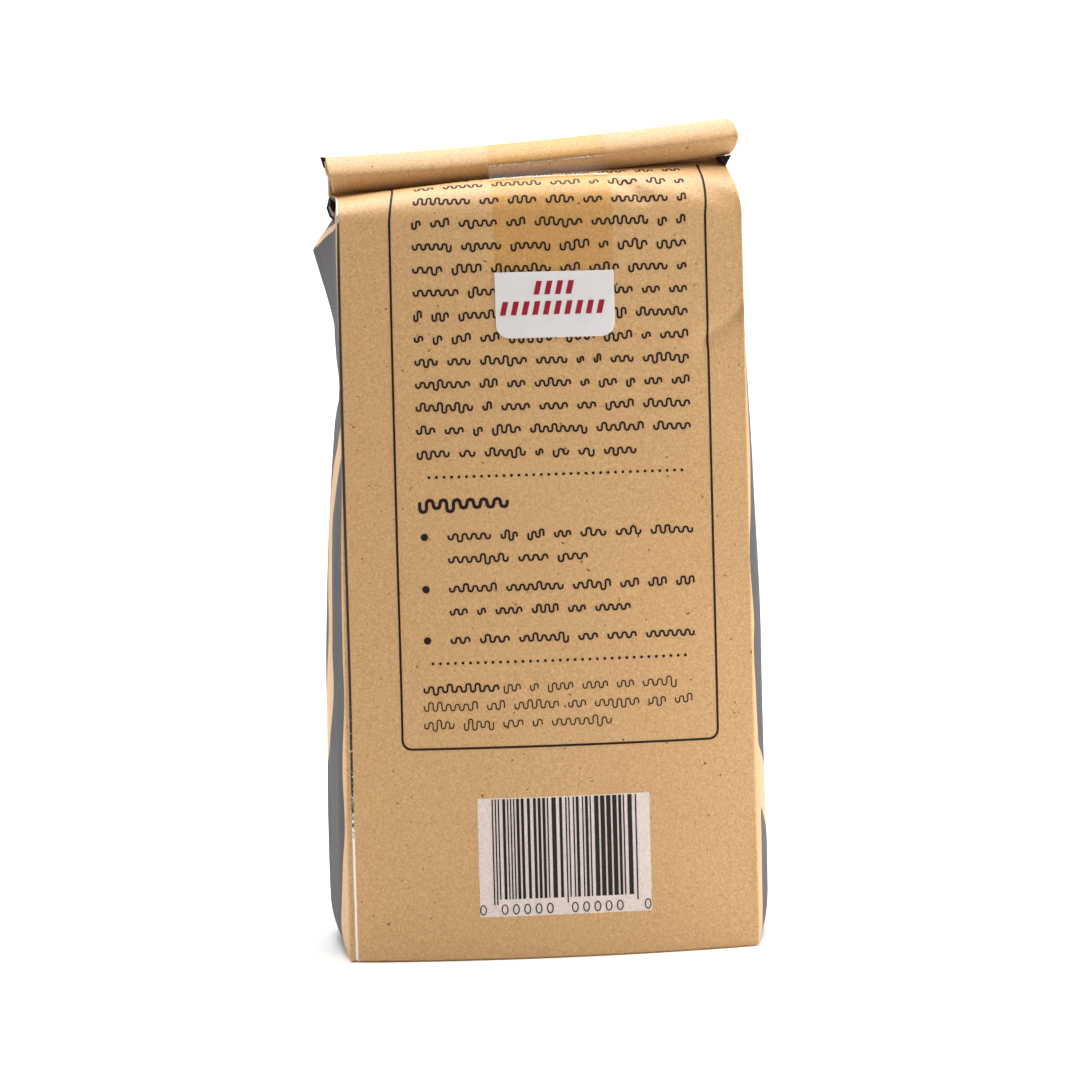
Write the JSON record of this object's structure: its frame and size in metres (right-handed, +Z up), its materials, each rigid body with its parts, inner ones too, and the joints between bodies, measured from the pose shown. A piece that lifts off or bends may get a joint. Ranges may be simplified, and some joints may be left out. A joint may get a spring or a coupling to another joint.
{
  "type": "coffee bag",
  "caption": "Side-gusseted kraft paper coffee bag, filled and standing, its top rolled down and held by a strip of resealable tape.",
  "frame": {"origin": "centre of the flat bottom that the bag stands on", "axes": "+Z up to the rolled top, -Y out of the back panel that the tape sticks to, +X to the right as that panel is read"},
  "size_m": [0.0979, 0.0695, 0.1796],
  "materials": {
    "kraft_laminate": "uncoated brown kraft paper on foil laminate, matt, printed in black and charcoal",
    "clear_tape": "thin clear polypropylene film with a milky white pull tab, glossy"
  },
  "bodies": {
    "root": {"bag": "kraft_laminate", "resealable_tape": "clear_tape"}
  },
  "joints": []
}
